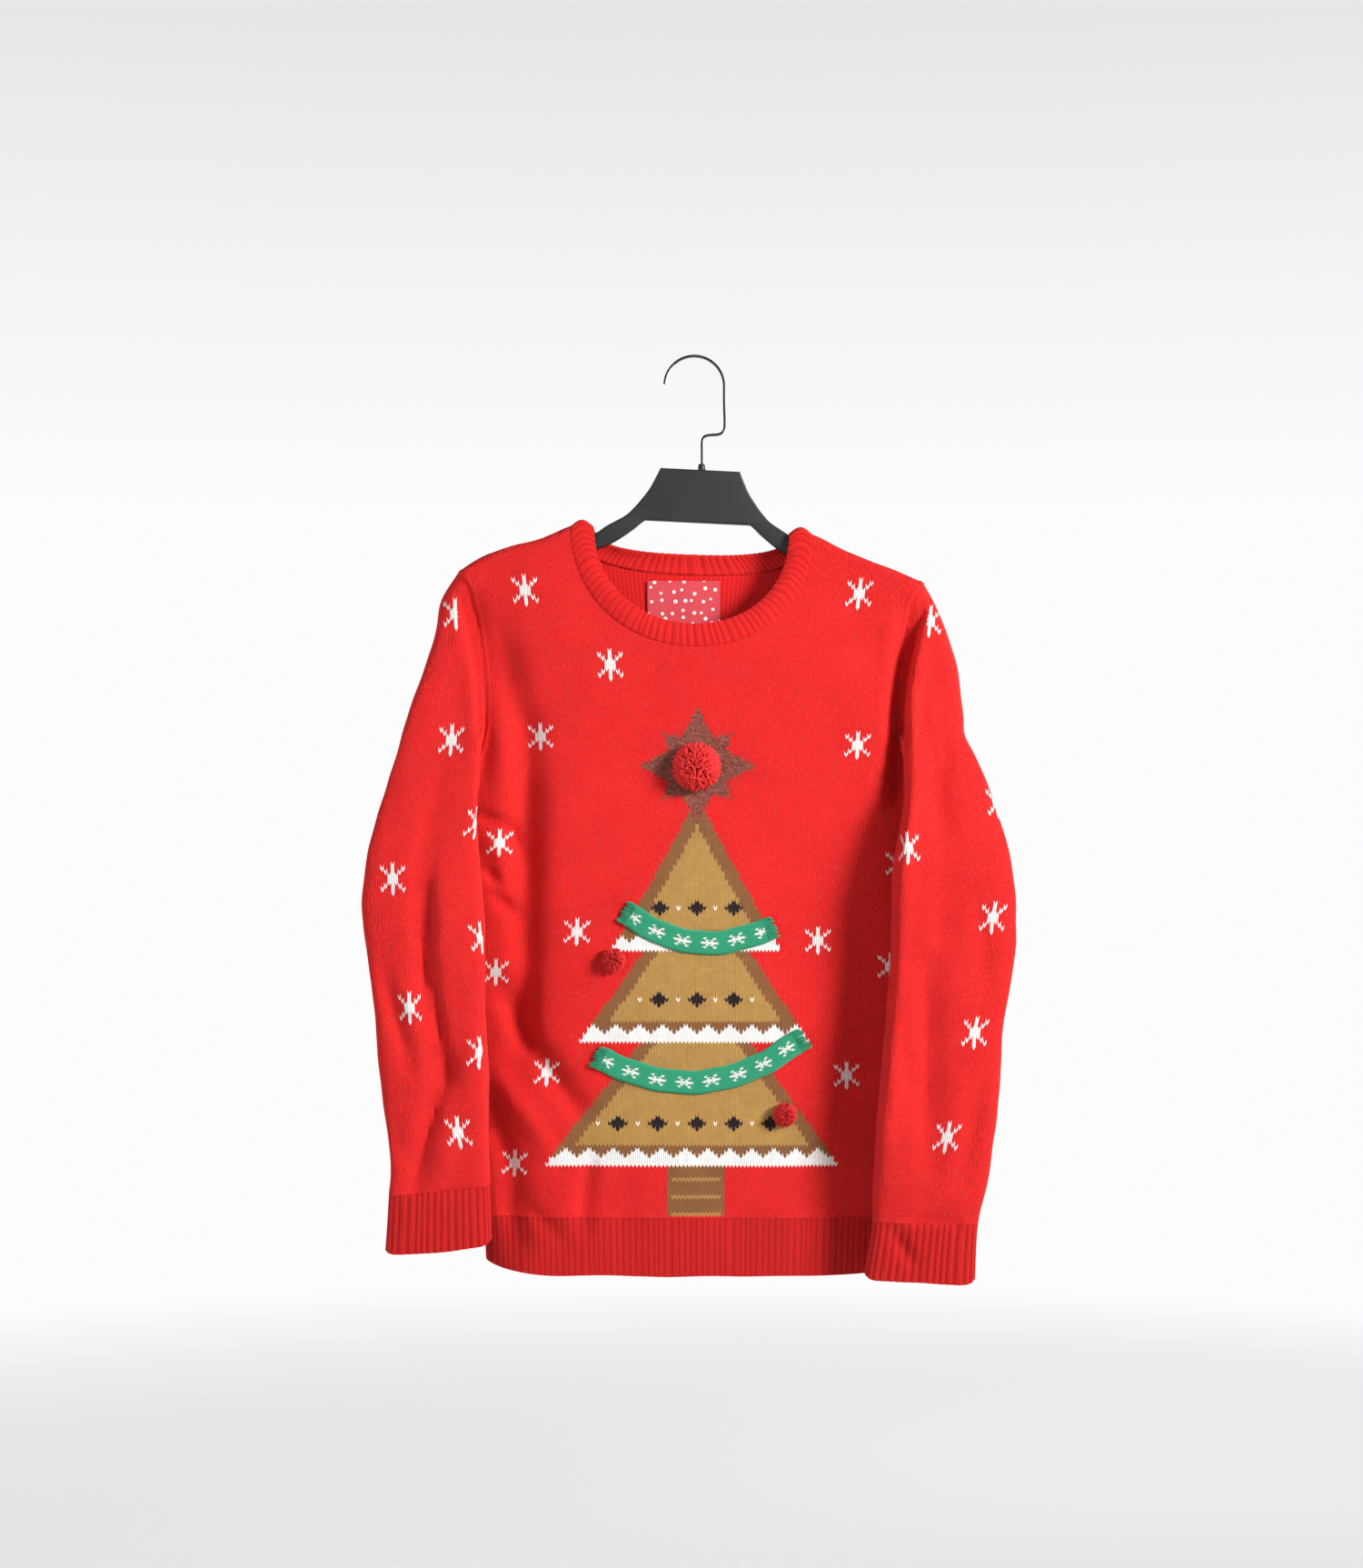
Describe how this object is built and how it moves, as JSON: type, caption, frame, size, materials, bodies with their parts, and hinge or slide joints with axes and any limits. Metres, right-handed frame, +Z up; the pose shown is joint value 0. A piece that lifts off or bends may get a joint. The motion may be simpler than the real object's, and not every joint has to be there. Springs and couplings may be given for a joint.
{
  "type": "christmas sweater on a clothes hanger",
  "caption": "Long-sleeved crew-neck knitted Christmas sweater, hollow and open at neck, hem and cuffs, hanging flat on a plain clothes hanger.",
  "frame": {"origin": "underside of the hook's crown, where a peg or rail holds the hanger", "axes": "+Z up, +X to the right seen from the front, -Y out of the front of the sweater; Y = 0 is the hanger's plane"},
  "size_m": [0.5472, 0.0856, 0.7855],
  "materials": {
    "red_knit": "fine stocking stitch in soft red yarn, matt with a slight fuzz",
    "red_rib": "ribbed welt in the same red yarn, matt",
    "green_knit": "knitted green ribbon with small white flakes, matt",
    "red_yarn": "cut red yarn, matt and fuzzy",
    "label_satin": "woven satin, soft sheen",
    "charcoal_plastic": "matt charcoal plastic",
    "black_metal": "dark flat steel strip, semi-gloss"
  },
  "bodies": {
    "root": {"front": "red_knit", "back": "red_knit", "sleeve_left": "red_knit", "sleeve_right": "red_knit", "cuff_left": "red_rib", "cuff_right": "red_rib", "hem_rib": "red_rib", "neckband": "red_rib", "neck_label": "label_satin", "garland_upper": "green_knit", "garland_lower": "green_knit", "pompom_star": "red_yarn", "pompom_left": "red_yarn", "pompom_right": "red_yarn", "hanger": "charcoal_plastic", "hanger_hook": "black_metal"}
  },
  "joints": []
}
